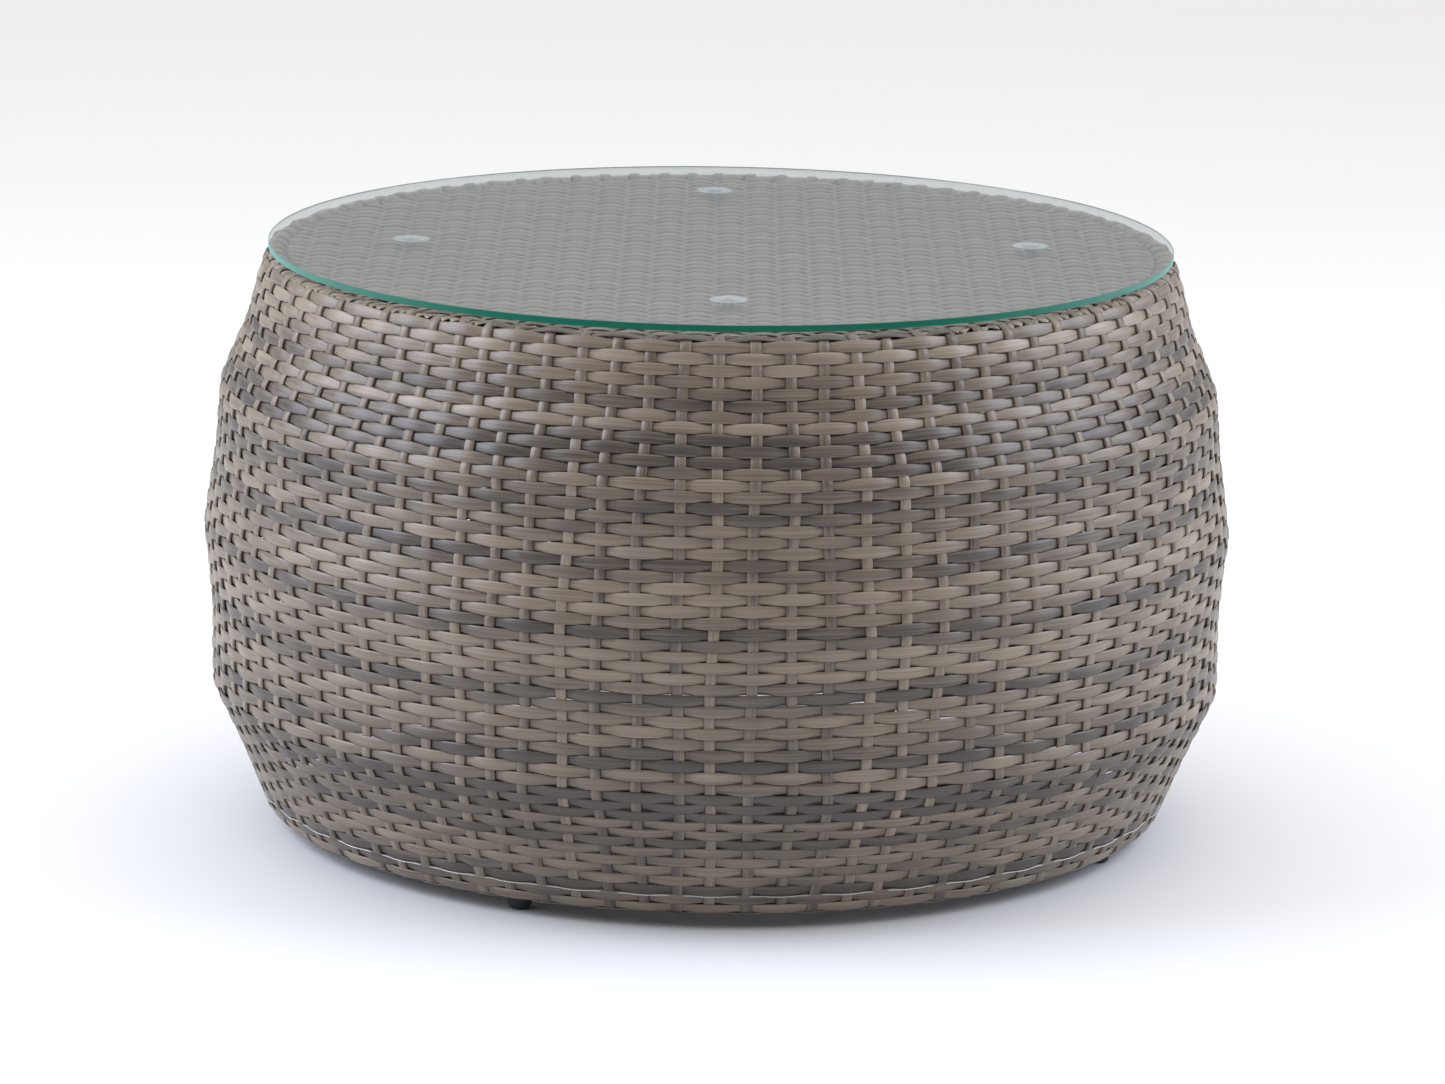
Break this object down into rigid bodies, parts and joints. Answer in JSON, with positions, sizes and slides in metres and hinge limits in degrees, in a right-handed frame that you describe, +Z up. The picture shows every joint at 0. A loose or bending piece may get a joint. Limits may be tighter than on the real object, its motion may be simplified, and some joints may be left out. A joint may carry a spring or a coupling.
{
  "type": "wicker coffee table",
  "caption": "Round barrel-shaped woven wicker coffee table on small tapered feet, with a lift-off clear glass top resting on clear suction pads over a woven deck.",
  "frame": {"origin": "floor level at the centre of the barrel, under the feet", "axes": "+Z up along the barrel's axis, -Y to the front, +X to the right seen from the front"},
  "size_m": [0.807, 0.807, 0.458],
  "materials": {
    "strand": "satin variegated taupe woven strand with fine lengthwise grooves",
    "frame": "dark powder coat",
    "glass": "clear tempered glass with a green ground edge",
    "clear_pad": "clear soft plastic",
    "foot": "fine-textured dark grey"
  },
  "bodies": {
    "base": {"side_weave": "strand", "rim_wrap": "strand", "foot_wrap": "strand", "deck_weave": "strand", "top_ring": "frame", "upper_hoop": "frame", "middle_hoop": "frame", "lower_hoop": "frame", "foot_rail_1": "frame", "foot_rail_2": "frame", "foot_rail_3": "frame", "foot_rail_4": "frame", "leg_1": "frame", "leg_2": "frame", "leg_3": "frame", "leg_4": "frame", "rib_1": "frame", "rib_2": "frame", "rib_3": "frame", "rib_4": "frame", "deck_bar_cross": "frame", "deck_bar_front": "frame", "deck_bar_back": "frame", "glass_pad_front": "clear_pad", "glass_pad_right": "clear_pad", "glass_pad_back": "clear_pad", "glass_pad_left": "clear_pad", "foot_1": "foot", "foot_2": "foot", "foot_3": "foot", "foot_4": "foot"},
    "glass": {"glass_top": "glass"}
  },
  "joints": [
    {"name": "glass_lift", "type": "slide", "parent": "base", "child": "glass", "axis": [0, 0, 1], "range_m": [0, 0.15]}
  ]
}
